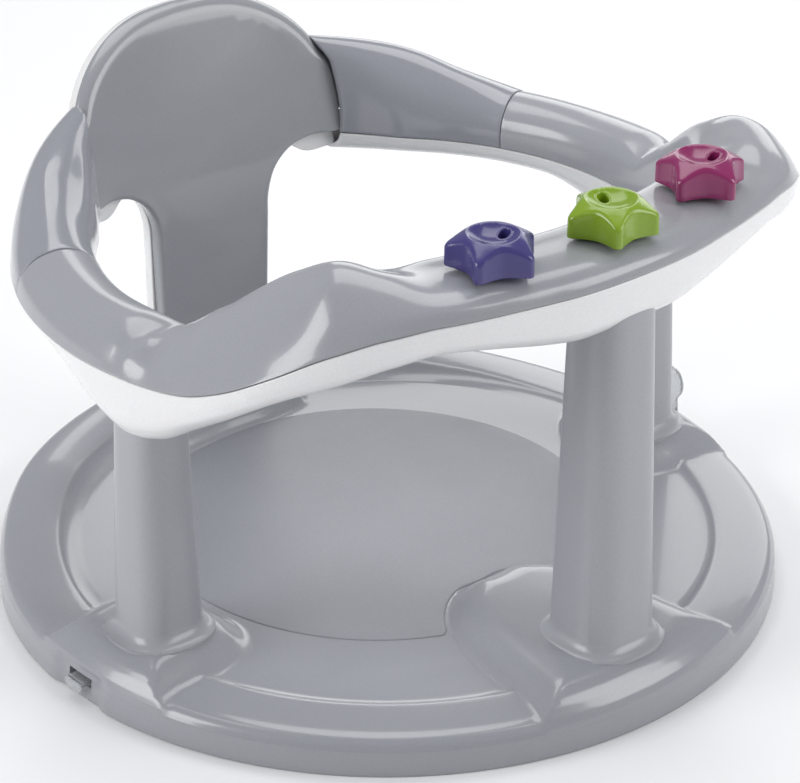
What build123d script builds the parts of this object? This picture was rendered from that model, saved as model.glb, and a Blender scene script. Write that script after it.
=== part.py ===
from build123d import *
import math
import os

os.makedirs("parts", exist_ok=True)

# ---------------------------------------------------------------------------
# Baby bath seat: a round hollow base with suction cups, three posts and a
# back column, and a padded-looking plastic ring with a raised backrest, a
# front tray and three star-shaped spinners.
# Frame: millimetres, +Z up, origin at the centre of the base on the surface
# it stands on, -Y towards the front tray, +Y towards the backrest.
# Angles round the seat are counted from the front (-Y) towards +X.
# ---------------------------------------------------------------------------

# base
BASE_R = 185.0          # outer radius at the bottom edge
FLOOR_Z = 17.0          # top of the floor inside the rim
FLOOR_T = 2.5           # wall of the base moulding
RIM_RISE = 10.0         # extra rim height at the back
POD_Z = 29.0            # flat top of the raised islands under the posts
BACK_PAD_Z = 24.0       # flat top of the pad under the back column
SLOT_W, SLOT_Z0, SLOT_Z1 = 18.0, 4.5, 13.0
TAB_Y = -3.5            # the two tab slots and side suction cups are here

# posts
SIDE_POST = (147.1, -15.8)
SCREW_X, SCREW_Y = 149.0, -26.5   # screws of the side posts, beside the suction cups
FRONT_POST_Y = -147.0
SIDE_POST_TOP = 147.0
FRONT_POST_TOP = 198.0
POST_CLEAR = 0.3        # post to socket, all round

# ring
SKIN = 2.4              # wall of the ring mouldings
SEAM = 114.8            # front cover ends here, both sides
ARM_END = 148.2         # arm covers end here
LOWER_END = 147.5       # white lower shell ends here
SEAM_GAP = 0.5          # degrees between two covers

# backrest
BACK_FRONT_Y = 131.0
BACK_LEAN = 0.25
BACK_CURVE = 0.0021
FRONT_SHELL_T = 7.0
REAR_SHELL_T = 9.0

# stars
STAR_R = 20.2
STAR_VALLEY = 13.9       # radius of the hollows between the arms
STAR_SEAT_Z = 224.7
STAR_GAP = 0.4
STAR_H = 14.4
# x, y, direction of one arm, direction of the hole pair
STARS = {"left": (-60.0, -138.0, -6.2, 3.5), "centre": (0.0, -144.8, 18.8, 81.5), "right": (60.0, -138.0, -19.5, -5.5)}
SPINDLE_R = 3.0
SPINDLE_CLEAR = 0.1
BOSS_BOTTOM_Z = 213.0


# ---------------------------------------------------------------------------
# helpers
# ---------------------------------------------------------------------------
def smooth_table(xs, ys, x):
    """Monotone cubic interpolation of a table."""
    n = len(xs)
    if x <= xs[0]:
        return ys[0]
    if x >= xs[-1]:
        return ys[-1]
    h = [xs[i + 1] - xs[i] for i in range(n - 1)]
    d = [(ys[i + 1] - ys[i]) / h[i] for i in range(n - 1)]
    m = [0.0] * n
    m[0], m[-1] = (0.0 if xs[0] == 0 else d[0]), d[-1]
    for i in range(1, n - 1):
        if d[i - 1] * d[i] > 0:
            w1, w2 = 2 * h[i] + h[i - 1], h[i] + 2 * h[i - 1]
            m[i] = (w1 + w2) / (w1 / d[i - 1] + w2 / d[i])
    i = max(k for k in range(n - 1) if xs[k] <= x)
    t = (x - xs[i]) / h[i]
    return ((2 * t**3 - 3 * t**2 + 1) * ys[i] + (t**3 - 2 * t**2 + t) * h[i] * m[i]
            + (-2 * t**3 + 3 * t**2) * ys[i + 1] + (t**3 - t**2) * h[i] * m[i + 1])


def radial_plane(theta):
    """Upright plane through the Z axis: local x is outwards, local y is up."""
    a = math.radians(theta)
    return Plane(origin=(0, 0, 0), x_dir=(math.sin(a), -math.cos(a), 0), z_dir=(-math.cos(a), -math.sin(a), 0))


def inset(points, t, side):
    """The profile moved by t along its normals; the ends stay level."""
    out = []
    n = len(points)
    for i, (x, y) in enumerate(points):
        x0, y0 = points[max(i - 1, 0)]
        x1, y1 = points[min(i + 1, n - 1)]
        dx, dy = x1 - x0, y1 - y0
        length = math.hypot(dx, dy)
        nx, ny = side * dy / length, -side * dx / length
        if i in (0, n - 1):
            nx, ny = (1.0 if nx > 0 else -1.0), 0.0
        out.append((x + t * nx, y + t * ny))
    return out


def shell_section(theta, outer, inner):
    """Closed section of a thin wall between two open profiles."""
    with BuildSketch(radial_plane(theta)) as sk:
        with BuildLine():
            Spline(*outer)
            Line(outer[-1], inner[-1])
            Spline(*inner)
            Line(inner[0], outer[0])
        make_face()
    return sk.sketch.faces()[0]


# ---------------------------------------------------------------------------
# ring tables: angle, then nine (radius, height) points of the grey top skin
# from the inner joint line, over the top, to the outer joint line
# ---------------------------------------------------------------------------
FRONT_TABLE = [
    (0, [(125, 206), (123.7, 213), (123.6, 220), (126, 222.8), (137, 223.3), (150, 223.2), (160, 221.8), (165.6, 218.3), (167.5, 213)]),
    (15, [(126, 206), (124.7, 213), (124.6, 220), (127, 222.8), (139, 223.3), (152, 223.2), (161.5, 221.7), (166.9, 217.8), (168.8, 212.6)]),
    (24, [(129, 206), (127.7, 213), (127.6, 220), (130, 222.8), (142, 223.3), (155, 223.2), (165.3, 221.6), (170.5, 217.8), (172.6, 213)]),
    (33, [(133, 206), (131.3, 213), (131.3, 219.5), (134, 222.3), (145, 222.9), (158, 223.6), (168.5, 222.6), (175.8, 219), (178.6, 213)]),
    (40, [(136, 203), (134.3, 210), (134.3, 216), (137.5, 220), (147, 223.6), (160, 228.3), (170, 226), (179.3, 218.5), (183.5, 210.5)]),
    (47, [(137.5, 196), (135.8, 204), (136, 211), (139.5, 218), (147.5, 226.8), (157, 231), (168, 226.5), (179, 215), (185.5, 203.5)]),
    (55, [(137.5, 185), (135.5, 195), (135.8, 205), (138.3, 213), (142, 218), (148, 220.5), (160.5, 213.5), (176, 200), (184.5, 190.5)]),
    (63, [(136, 174), (134, 183), (133.8, 192), (135.5, 199), (138.5, 203), (144, 204.5), (156, 198.5), (171.5, 186.5), (180, 177)]),
    (70, [(134.5, 166), (132.8, 174), (132.5, 182), (134, 188), (137.5, 191.8), (143, 193), (154, 189.5), (168, 179.5), (175, 168.8)]),
    (78, [(133, 161.5), (131.8, 169), (132.3, 176), (135.5, 181.5), (140.5, 184.8), (147, 185.8), (158, 182), (167.3, 174.2), (171.5, 165.2)]),
    (86, [(132, 160), (131.3, 167.5), (133, 175), (138, 180.5), (144.5, 183), (151.5, 183), (161, 178.9), (167.6, 171.9), (170.4, 164)]),
    (100, [(132, 160), (131.3, 167.3), (133.3, 174.5), (138.5, 179.6), (145, 181.9), (151.5, 182), (161, 178.4), (168, 171.4), (170.6, 163)]),
    (118, [(132, 160), (131.5, 167.3), (133.7, 174.5), (139, 179.8), (145.5, 182.2), (152, 182.3), (161.5, 179), (168.5, 171.6), (171, 162.5)]),
]
ARM_TABLE = [
    (114, [(132.2, 160), (131.7, 167.2), (133.9, 174.4), (139.2, 179.6), (145.7, 182), (152, 182.1), (161.4, 178.8), (168.3, 171.4), (170.8, 162.5)]),
    (126, [(132.5, 160), (132.4, 168), (135.2, 177.5), (140.5, 185), (147.3, 189.6), (154, 189.8), (162.4, 185), (169, 174.5), (171, 162.5)]),
    (134, [(132.8, 160), (133, 170), (136.2, 182.5), (141.8, 191.8), (148.8, 198), (155.3, 199.3), (163.4, 194), (169.4, 178.5), (171, 162)]),
    (143, [(136, 160), (136.4, 172), (139.2, 187), (144, 198), (150.5, 204.3), (157, 205.3), (164.5, 199.5), (169.8, 182), (170.8, 161.5)]),
    (152, [(142.5, 160), (143.2, 173), (146, 189.5), (149.5, 200.5), (154, 206.3), (159, 207.3), (165, 202), (169.6, 184), (170.5, 161)]),
]
# height of the underside of the white lower shell, with the lobes over the posts
UNDER_A = [0, 9, 16, 24, 33, 40, 47, 55, 63, 70, 77, 84, 91, 98, 106, 118, 152]
UNDER_Z = [187, 187.5, 190, 193.5, 195.5, 191.5, 184, 174, 160, 148, 137, 133.5, 136, 143.5, 148.5, 149, 149]


def table_profile(table, theta):
    t = abs(theta)
    xs = [row[0] for row in table]
    return [(smooth_table(xs, [row[1][i][0] for row in table], t),
             smooth_table(xs, [row[1][i][1] for row in table], t)) for i in range(9)]


def top_profile(theta):
    return table_profile(FRONT_TABLE if abs(theta) <= SEAM else ARM_TABLE, theta)


def under_profile(theta):
    """Outer profile of the white lower shell, outer joint line to inner joint line."""
    top = top_profile(theta)
    (ri, zi), (ro, zo) = top[0], top[-1]
    zb = smooth_table(UNDER_A, UNDER_Z, abs(theta))
    h = zo - zb
    hi = zi - zb
    mid = (ri + ro) / 2
    gap = smooth_table([0, 116, 130, 152], [0.7, 0.7, 1.4, 1.4], abs(theta))
    return [(ro - 0.5, zo - gap), (ro - 1.5, zo - 0.38 * h), (ro - 4.6, zo - 0.75 * h), (ro - 11, zb + 0.4),
            (mid, zb - 0.4), (ri + 7.5, zb + 0.6), (ri + 2.6, zb + 0.42 * hi), (ri + 0.6, zi - gap)]


# ---------------------------------------------------------------------------
# base
# ---------------------------------------------------------------------------
RIM = [(185.0, 0.0), (184.7, 7.0), (183.5, 13.4), (180.2, 17.2), (175.0, 18.4), (166.0, 18.7), (157.0, 18.2), (146.0, FLOOR_Z)]
RIM_W = [0.0, 0.3, 0.75, 1.0, 1.0, 0.85, 0.35, 0.0]


def rim_profile(theta):
    rise = smooth_table([0, 105, 128, 146, 180], [0, 0, 0.45 * RIM_RISE, RIM_RISE, RIM_RISE], abs(theta))
    return [(r, z + w * rise) for (r, z), w in zip(RIM, RIM_W)]


def rim_inner(profile):
    inner = inset(profile, FLOOR_T, -1)
    inner[0] = (profile[0][0] - FLOOR_T, 0.0)
    inner[-1] = (profile[-1][0], profile[-1][1] - FLOOR_T)
    return [(r, z) if z > 0 else (r, 0.0) for r, z in inner]


RIM_ANGLES = [0, 30, 60, 90, 105, 116, 128, 137, 146, 160, 180]
rim_faces = []
for ang in RIM_ANGLES:
    prof = rim_profile(ang)
    rim_faces.append(shell_section(ang, prof, rim_inner(prof)))

# outline points of the front island, from the crease beside the front post out to the rim
FRONT_POD = [(0, -69), (-14, -69), (-31, -81), (-44, -103), (-49, -125), (-53, -150), (-56, -166)]

with BuildPart() as base:
    loft(sections=rim_faces)
    mirror(about=Plane.YZ)
    with BuildSketch(Plane.XY.offset(FLOOR_Z - FLOOR_T)):
        Circle(147.0)
    extrude(amount=FLOOR_T)
    # raised island round the front post
    with BuildSketch(Plane.XY.offset(FLOOR_Z - 1.0)):
        with BuildLine():
            left = Spline(*FRONT_POD)
            right = Spline(*[(-x, y) for x, y in FRONT_POD])
            Line(left @ 1, right @ 1)
        make_face()
    with BuildSketch(Plane.XY.offset(POD_Z)):
        with BuildLine():
            left = Spline(*[(x * 0.72, -147 + (y + 147) * 0.66) for x, y in FRONT_POD])
            right = Spline(*[(-x * 0.72, -147 + (y + 147) * 0.66) for x, y in FRONT_POD])
            Line(left @ 1, right @ 1)
        make_face()
    loft()
    # raised islands round the side posts
    for sx in (-1, 1):
        with BuildSketch(Plane.XY.offset(FLOOR_Z - 1.0)):
            with Locations((sx * 146, SIDE_POST[1])):
                Ellipse(34, 45)
        with BuildSketch(Plane.XY.offset(POD_Z)):
            with Locations((sx * 149, SIDE_POST[1])):
                Ellipse(23.5, 27.5)
        loft()
    # pad under the back column
    with BuildSketch(Plane.XY.offset(FLOOR_Z - 1.0)):
        with Locations((0, 141)):
            RectangleRounded(98, 40, 14)
    with BuildSketch(Plane.XY.offset(BACK_PAD_Z)):
        with Locations((0, 141)):
            RectangleRounded(78, 28, 10)
    loft()
    # bosses for the suction cups, under the floor
    for x, y in ((-140, TAB_Y), (140, TAB_Y), (0, -106), (0, 106)):
        with BuildSketch(Plane.XY.offset(10.5)):
            with Locations((x, y)):
                Circle(9)
        extrude(amount=FLOOR_Z - FLOOR_T - 10.5 + 0.5)
        with BuildSketch(Plane.XY.offset(10.5)):
            with Locations((x, y)):
                Circle(4.1)
        extrude(amount=4.0, mode=Mode.SUBTRACT)
    # slots for the release tabs
    for sx in (-1, 1):
        with BuildSketch(Plane.YZ.offset(sx * 183)):
            with Locations((TAB_Y, (SLOT_Z0 + SLOT_Z1) / 2)):
                RectangleRounded(SLOT_W, SLOT_Z1 - SLOT_Z0, 1.5)
        extrude(amount=7.5, both=True, mode=Mode.SUBTRACT)
    # screw holes up into the posts and the column, with flat seats underneath
    for x, y in ((-SCREW_X, SCREW_Y), (SCREW_X, SCREW_Y), (0, FRONT_POST_Y), (-20, 140), (20, 140)):
        with BuildSketch(Plane.XY.offset(8.0)):
            with Locations((x, y)):
                Circle(6)
        extrude(amount=8.0)
        with BuildSketch(Plane.XY.offset(7.0)):
            with Locations((x, y)):
                Circle(2.3)
        extrude(amount=POD_Z, mode=Mode.SUBTRACT)
        with BuildSketch(Plane.XY.offset(7.0)):
            with Locations((x, y)):
                Circle(4.6)
        extrude(amount=5.0, mode=Mode.SUBTRACT)
base.part.label = "base"
export_step(base.part, "parts/base.step")

# thin soft mat stuck to the floor
with BuildPart() as seat_mat:
    with BuildSketch(Plane.XY.offset(FLOOR_Z)):
        with Locations((0, 9)):
            Ellipse(108, 110)
    extrude(amount=1.2)
    with BuildSketch(Plane.XY.offset(FLOOR_Z)):
        with BuildLine():
            left = Spline(*[(x * 1.06, -147 + (y + 147) * 1.03) for x, y in FRONT_POD])
            right = Spline(*[(-x * 1.06, -147 + (y + 147) * 1.03) for x, y in FRONT_POD])
            Line(left @ 1, right @ 1)
        make_face()
    extrude(amount=1.2, mode=Mode.SUBTRACT)
seat_mat.part.label = "seat_mat"
export_step(seat_mat.part, "parts/seat_mat.step")


# ---------------------------------------------------------------------------
# posts
# ---------------------------------------------------------------------------
def post_sizes(z0, z1, w0, d0, w1, d1):
    """(height, width, depth, corner) from the flared foot to the top."""
    out = []
    for dz, grow in ((0, 12.0), (0.8, 8.6), (2.4, 5.0), (5.0, 2.0), (8.0, 0.4)):
        f = dz / (z1 - z0)
        out.append((z0 + dz, w0 + (w1 - w0) * f + grow, d0 + (d1 - d0) * f + grow))
    for f in (0.35, 0.65, 1.0):
        out.append((z0 + (z1 - z0) * f, w0 + (w1 - w0) * f, d0 + (d1 - d0) * f))
    return [(z, w, d, 0.42 * min(w, d)) for z, w, d in out]


SIDE_SIZES = post_sizes(POD_Z, SIDE_POST_TOP, 34.3, 34.3, 27.3, 27.3)
FRONT_SIZES = post_sizes(POD_Z, FRONT_POST_TOP, 40, 40, 31.7, 31.7)

with BuildPart() as left_post:
    for z, w, d, r in SIDE_SIZES:
        with BuildSketch(Plane.XY.offset(z)):
            with Locations((-SIDE_POST[0], SIDE_POST[1])):
                RectangleRounded(w, d, r)
    loft(ruled=True)
    with BuildSketch(Plane.XY.offset(POD_Z)):
        with Locations((-SCREW_X, SCREW_Y)):
            Circle(1.7)
    extrude(amount=14, mode=Mode.SUBTRACT)
left_post.part.label = "left_post"
export_step(left_post.part, "parts/left_post.step")

with BuildPart() as right_post:
    for z, w, d, r in SIDE_SIZES:
        with BuildSketch(Plane.XY.offset(z)):
            with Locations((SIDE_POST[0], SIDE_POST[1])):
                RectangleRounded(w, d, r)
    loft(ruled=True)
    with BuildSketch(Plane.XY.offset(POD_Z)):
        with Locations((SCREW_X, SCREW_Y)):
            Circle(1.7)
    extrude(amount=14, mode=Mode.SUBTRACT)
right_post.part.label = "right_post"
export_step(right_post.part, "parts/right_post.step")

with BuildPart() as front_post:
    for z, w, d, r in FRONT_SIZES:
        with BuildSketch(Plane.XY.offset(z)):
            with Locations((0, FRONT_POST_Y)):
                RectangleRounded(w, d, r)
    loft(ruled=True)
    with BuildSketch(Plane.XY.offset(POD_Z)):
        with Locations((0, FRONT_POST_Y)):
            Circle(1.7)
    extrude(amount=14, mode=Mode.SUBTRACT)
front_post.part.label = "front_post"
export_step(front_post.part, "parts/front_post.step")

# screws up through the base: pan head and shank, one solid each
with BuildPart() as base_screws:
    for x, y, z in ((-SCREW_X, SCREW_Y, POD_Z), (SCREW_X, SCREW_Y, POD_Z), (0, FRONT_POST_Y, POD_Z), (-20, 140, BACK_PAD_Z), (20, 140, BACK_PAD_Z)):
        with BuildSketch(Plane.XY.offset(8.8)):
            with Locations((x, y)):
                Circle(3.9)
        extrude(amount=3.1)
        with BuildSketch(Plane.XY.offset(11.0)):
            with Locations((x, y)):
                Circle(1.6)
        extrude(amount=z + 12.0 - 11.0)
base_screws.part.label = "base_screws"
export_step(base_screws.part, "parts/base_screws.step")

# ---------------------------------------------------------------------------
# white lower shell of the ring: a channel from backrest to backrest
# ---------------------------------------------------------------------------
LOWER_ANGLES = [0, 8, 16, 24, 33, 40, 47, 55, 63, 70, 77, 84, 91, 98, 106, 116, 126, 134, 142, LOWER_END]
lower_faces = []
for ang in [-a for a in LOWER_ANGLES[:0:-1]] + LOWER_ANGLES:
    prof = under_profile(ang)
    lower_faces.append(shell_section(ang, prof, inset(prof, SKIN, 1)))

with BuildPart() as lower_ring:
    loft(sections=lower_faces)
    # sockets that the posts enter
    for sx in (-1, 1):
        with BuildSketch(Plane.XY.offset(120)):
            with Locations((sx * SIDE_POST[0], SIDE_POST[1])):
                RectangleRounded(28.3 + 2 * POST_CLEAR, 28.3 + 2 * POST_CLEAR, 11.9)
        extrude(amount=32, mode=Mode.SUBTRACT)
    with BuildSketch(Plane.XY.offset(175)):
        with Locations((0, FRONT_POST_Y)):
            RectangleRounded(32.4 + 2 * POST_CLEAR, 32.4 + 2 * POST_CLEAR, 13.5)
    extrude(amount=28, mode=Mode.SUBTRACT)
lower_ring.part.label = "lower_ring"
export_step(lower_ring.part, "parts/lower_ring.step")

# ---------------------------------------------------------------------------
# grey front cover with tray and humps
# ---------------------------------------------------------------------------
FRONT_ANGLES = [0, 8, 16, 24, 33, 40, 47, 55, 63, 70, 77, 84, 91, 98, 106, SEAM - SEAM_GAP / 2]
front_faces = []
for ang in [-a for a in FRONT_ANGLES[:0:-1]] + FRONT_ANGLES:
    prof = top_profile(ang)
    front_faces.append(shell_section(ang, prof, inset(prof, SKIN, 1)))

with BuildPart() as front_cover:
    loft(sections=front_faces)
    for x, y, _, _ in STARS.values():
        with BuildSketch(Plane.XY.offset(BOSS_BOTTOM_Z)):
            with Locations((x, y)):
                Circle(7.5)
        extrude(amount=STAR_SEAT_Z - BOSS_BOTTOM_Z)
        with BuildSketch(Plane.XY.offset(BOSS_BOTTOM_Z - 1)):
            with Locations((x, y)):
                Circle(SPINDLE_R + SPINDLE_CLEAR)
        extrude(amount=14, mode=Mode.SUBTRACT)
front_cover.part.label = "front_cover"
export_step(front_cover.part, "parts/front_cover.step")

# glossy arm covers
ARM_ANGLES = [SEAM + SEAM_GAP / 2, 126, 134, 142, ARM_END]
arm_faces = []
for ang in ARM_ANGLES:
    prof = table_profile(ARM_TABLE, ang)
    arm_faces.append(shell_section(ang, prof, inset(prof, SKIN, 1)))

with BuildPart() as right_arm_cover:
    loft(sections=arm_faces)
right_arm_cover.part.label = "right_arm_cover"
export_step(right_arm_cover.part, "parts/right_arm_cover.step")

with BuildPart() as left_arm_cover:
    add(right_arm_cover.part)
    mirror(about=Plane.YZ, mode=Mode.REPLACE)
left_arm_cover.part.label = "left_arm_cover"
export_step(left_arm_cover.part, "parts/left_arm_cover.step")

# ---------------------------------------------------------------------------
# backrest: grey front shell and white rear shell, each with the column
# ---------------------------------------------------------------------------
SLAB_LEVELS = [20, 134, 142, 150, 158, 242]


def back_front_y(x, z):
    lean = BACK_LEAN * (z - 146) if z >= 158 else BACK_LEAN * max(0.0, z - 134) ** 2 / 48.0
    return BACK_FRONT_Y + lean - BACK_CURVE * x * x


def slab_section(z, t0, t1):
    half = 100.0
    xs = (-half, -50, 0, 50, half)
    with BuildSketch(Plane.XY.offset(z)) as sk:
        with BuildLine():
            front = Spline(*[(x, back_front_y(x, z) + t0) for x in xs])
            rear = Spline(*[(x, back_front_y(x, z) + t1) for x in xs])
            Line(front @ 0, rear @ 0)
            Line(front @ 1, rear @ 1)
        make_face()
    return sk.sketch.faces()[0]


# half outline of the backrest and column, from the middle of the top, down
ARCH = [(0, 236.5), (18, 235.6), (34, 232.4), (48, 226.5), (60, 218), (69, 207.5), (74.5, 196)]

with BuildPart() as backrest_front:
    loft(sections=[slab_section(z, 0.0, FRONT_SHELL_T) for z in SLAB_LEVELS], ruled=True)
    with BuildSketch(Plane.XZ):
        with BuildLine():
            arch = Spline(*ARCH, tangents=[(1, 0), (0.35, -1)])
            side = Line(arch @ 1, (74.5, 161))
            under = Line(side @ 1, (62, 160.5))
            foot = Spline(under @ 1, (47, 156.5), (36.5, 146), (33.8, 132), tangents=[(-1, 0), (-0.05, -1)])
            col = Line(foot @ 1, (31.0, BACK_PAD_Z))
            bottom = Line(col @ 1, (0, BACK_PAD_Z))
            Line(bottom @ 1, (0, 236.5))
        make_face()
        mirror(about=Plane.YZ)
    extrude(amount=-200, mode=Mode.INTERSECT)
backrest_front.part.label = "backrest_front"
export_step(backrest_front.part, "parts/backrest_front.step")

with BuildPart() as backrest_rear:
    loft(sections=[slab_section(z, FRONT_SHELL_T, FRONT_SHELL_T + REAR_SHELL_T) for z in SLAB_LEVELS], ruled=True)
    with BuildSketch(Plane.XZ):
        with BuildLine():
            arch = Spline(*[(x * 0.985, z - 1.2) for x, z in ARCH], tangents=[(1, 0), (0.35, -1)])
            side = Line(arch @ 1, (ARCH[-1][0] * 0.985, 149.5))
            under = Line(side @ 1, (46, 149.5))
            foot = Spline(under @ 1, (38.5, 146), (35, 137), tangents=[(-1, 0), (0, -1)])
            col = Line(foot @ 1, (34.0, BACK_PAD_Z))
            bottom = Line(col @ 1, (0, BACK_PAD_Z))
            Line(bottom @ 1, (0, ARCH[0][1] - 1.2))
        make_face()
        mirror(about=Plane.YZ)
    extrude(amount=-200, mode=Mode.INTERSECT)
    for x in (-20, 20):
        with BuildSketch(Plane.XY.offset(BACK_PAD_Z)):
            with Locations((x, 140)):
                Circle(1.7)
        extrude(amount=14, mode=Mode.SUBTRACT)
    # screw holes into the front shell
    for x, z in ((-50, 180), (50, 180), (0, 215), (0, 110)):
        y = back_front_y(x, z) + FRONT_SHELL_T
        with BuildSketch(Plane.XZ.offset(-(y - 2))):
            with Locations((x, z)):
                Circle(2.2)
        extrude(amount=-20, mode=Mode.SUBTRACT)
        with BuildSketch(Plane.XZ.offset(-(y + 5.0))):
            with Locations((x, z)):
                Circle(4.4)
        extrude(amount=-20, mode=Mode.SUBTRACT)
backrest_rear.part.label = "backrest_rear"
export_step(backrest_rear.part, "parts/backrest_rear.step")

# screws through the rear shell into the front shell
with BuildPart() as backrest_screws:
    for x, z in ((-50, 180), (50, 180), (0, 215), (0, 110)):
        y = back_front_y(x, z) + FRONT_SHELL_T
        with BuildSketch(Plane.XZ.offset(-(y + 1.6))):
            with Locations((x, z)):
                Circle(1.9)
        extrude(amount=-3.7)
        with BuildSketch(Plane.XZ.offset(-(y + 5.2))):
            with Locations((x, z)):
                Circle(3.9)
        extrude(amount=-2.2)
backrest_screws.part.label = "backrest_screws"
export_step(backrest_screws.part, "parts/backrest_screws.step")

# ---------------------------------------------------------------------------
# stars, each with its spindle and the clip under the tray
# ---------------------------------------------------------------------------
def star_points(inset, turn, cx=0.0, cy=0.0):
    """Five narrow rounded arms with hollow sides; inset moves the outline inwards."""
    pts = []
    for k in range(5):
        a = turn + 72 * k
        for da, r in ((-21.3, 15.05), (-14.7, 16.25), (-6.0, 19.15), (0, STAR_R), (6.0, 19.15), (14.7, 16.25), (21.3, 15.05), (36, STAR_VALLEY)):
            b = math.radians(a + da)
            r -= inset * (1.45 if abs(da) < 10 else 1.1)
            pts.append((cx + r * math.cos(b), cy + r * math.sin(b)))
    return pts


STAR_Z0 = STAR_SEAT_Z + STAR_GAP
STAR_Z1 = STAR_Z0 + STAR_H


def hole_pair(x, y, turn):
    a = math.radians(turn)
    return [(x + s * 6.3 * math.cos(a), y + s * 6.3 * math.sin(a)) for s in (-1, 1)]


x, y, turn, hole_turn = STARS["left"]
with BuildPart() as star_left:
    with BuildSketch(Plane.XY.offset(STAR_Z0)):
        with BuildLine():
            Spline(*star_points(0.0, turn, cx=x, cy=y), periodic=True)
        make_face()
    extrude(amount=STAR_H)
    fillet(star_left.faces().sort_by(Axis.Z)[-1].edges(), 1.4)
    with BuildSketch(Plane.XY.offset(STAR_Z0)):
        with BuildLine():
            Spline(*star_points(2.0, turn, cx=x, cy=y), periodic=True)
        make_face()
        with Locations((x, y)):
            Circle(9.6, mode=Mode.SUBTRACT)
    extrude(amount=STAR_H - 4.0, mode=Mode.SUBTRACT)
    with BuildSketch(Plane.XY.offset(STAR_Z0)):
        with Locations((x, y)):
            Circle(2.0)
    extrude(amount=10.0, mode=Mode.SUBTRACT)
    with BuildSketch(Plane.XY.offset(STAR_Z0 + 6.0)):
        with Locations(*hole_pair(x, y, hole_turn)):
            Circle(2.75)
    extrude(amount=STAR_H, mode=Mode.SUBTRACT)
star_left.part.label = "star_left"
export_step(star_left.part, "parts/star_left.step")

x, y, turn, hole_turn = STARS["centre"]
with BuildPart() as star_centre:
    with BuildSketch(Plane.XY.offset(STAR_Z0)):
        with BuildLine():
            Spline(*star_points(0.0, turn, cx=x, cy=y), periodic=True)
        make_face()
    extrude(amount=STAR_H)
    fillet(star_centre.faces().sort_by(Axis.Z)[-1].edges(), 1.4)
    with BuildSketch(Plane.XY.offset(STAR_Z0)):
        with BuildLine():
            Spline(*star_points(2.0, turn, cx=x, cy=y), periodic=True)
        make_face()
        with Locations((x, y)):
            Circle(9.6, mode=Mode.SUBTRACT)
    extrude(amount=STAR_H - 4.0, mode=Mode.SUBTRACT)
    with BuildSketch(Plane.XY.offset(STAR_Z0)):
        with Locations((x, y)):
            Circle(2.0)
    extrude(amount=10.0, mode=Mode.SUBTRACT)
    with BuildSketch(Plane.XY.offset(STAR_Z0 + 6.0)):
        with Locations(*hole_pair(x, y, hole_turn)):
            Circle(2.75)
    extrude(amount=STAR_H, mode=Mode.SUBTRACT)
star_centre.part.label = "star_centre"
export_step(star_centre.part, "parts/star_centre.step")

x, y, turn, hole_turn = STARS["right"]
with BuildPart() as star_right:
    with BuildSketch(Plane.XY.offset(STAR_Z0)):
        with BuildLine():
            Spline(*star_points(0.0, turn, cx=x, cy=y), periodic=True)
        make_face()
    extrude(amount=STAR_H)
    fillet(star_right.faces().sort_by(Axis.Z)[-1].edges(), 1.4)
    with BuildSketch(Plane.XY.offset(STAR_Z0)):
        with BuildLine():
            Spline(*star_points(2.0, turn, cx=x, cy=y), periodic=True)
        make_face()
        with Locations((x, y)):
            Circle(9.6, mode=Mode.SUBTRACT)
    extrude(amount=STAR_H - 4.0, mode=Mode.SUBTRACT)
    with BuildSketch(Plane.XY.offset(STAR_Z0)):
        with Locations((x, y)):
            Circle(2.0)
    extrude(amount=10.0, mode=Mode.SUBTRACT)
    with BuildSketch(Plane.XY.offset(STAR_Z0 + 6.0)):
        with Locations(*hole_pair(x, y, hole_turn)):
            Circle(2.75)
    extrude(amount=STAR_H, mode=Mode.SUBTRACT)
star_right.part.label = "star_right"
export_step(star_right.part, "parts/star_right.step")

# spindles: thin pin pressed into the star, shaft through the tray boss, groove for the clip
SPINDLE_TOP = STAR_Z0 + 9.8
for side, (x, y, _, _) in STARS.items():
    with BuildPart() as spindle:
        with BuildSketch(Plane.XY.offset(STAR_Z0)):
            with Locations((x, y)):
                Circle(2.0)
        extrude(amount=SPINDLE_TOP - STAR_Z0)
        with BuildSketch(Plane.XY.offset(BOSS_BOTTOM_Z - 3.2)):
            with Locations((x, y)):
                Circle(SPINDLE_R)
        extrude(amount=STAR_Z0 - BOSS_BOTTOM_Z + 3.2)
        with BuildSketch(Plane.XY.offset(BOSS_BOTTOM_Z - 1.9)):
            with Locations((x, y)):
                Circle(SPINDLE_R + 1)
                Circle(2.2, mode=Mode.SUBTRACT)
        extrude(amount=1.4, mode=Mode.SUBTRACT)
    spindle.part.label = "star_spindle_" + side
    export_step(spindle.part, "parts/star_spindle_" + side + ".step")

    with BuildPart() as clip:
        with BuildSketch(Plane.XY.offset(BOSS_BOTTOM_Z - 1.8)):
            with Locations((x, y)):
                Circle(6.0)
                Circle(2.25, mode=Mode.SUBTRACT)
            with Locations((x, y - 4.0)):
                Rectangle(2.6, 8.0, mode=Mode.SUBTRACT)
        extrude(amount=1.2)
    clip.part.label = "star_clip_" + side
    export_step(clip.part, "parts/star_clip_" + side + ".step")

# ---------------------------------------------------------------------------
# suction cups, and the two release tabs at the side slots
# ---------------------------------------------------------------------------
CUP = [(0, 10.3), (4.0, 10.3), (4.0, 14.3), (0, 14.3)]
TAB_X = 187.0           # tab pivot line, just outside the wall
TAB_Z = 9.0


def cup_outline():
    with BuildLine() as ln:
        Polyline((0, 14.2), (4.0, 14.2), (4.0, 10.2), (6.5, 9.8), (9.5, 8.0), (14.0, 5.4), (19.0, 2.8), (22.8, 0.8), (23.2, 0.3),
                 (21.8, 0.3), (18.0, 1.6), (13.0, 3.4), (8.0, 5.0), (3.0, 5.8), (0, 5.9), close=True)
    return ln.line


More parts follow.
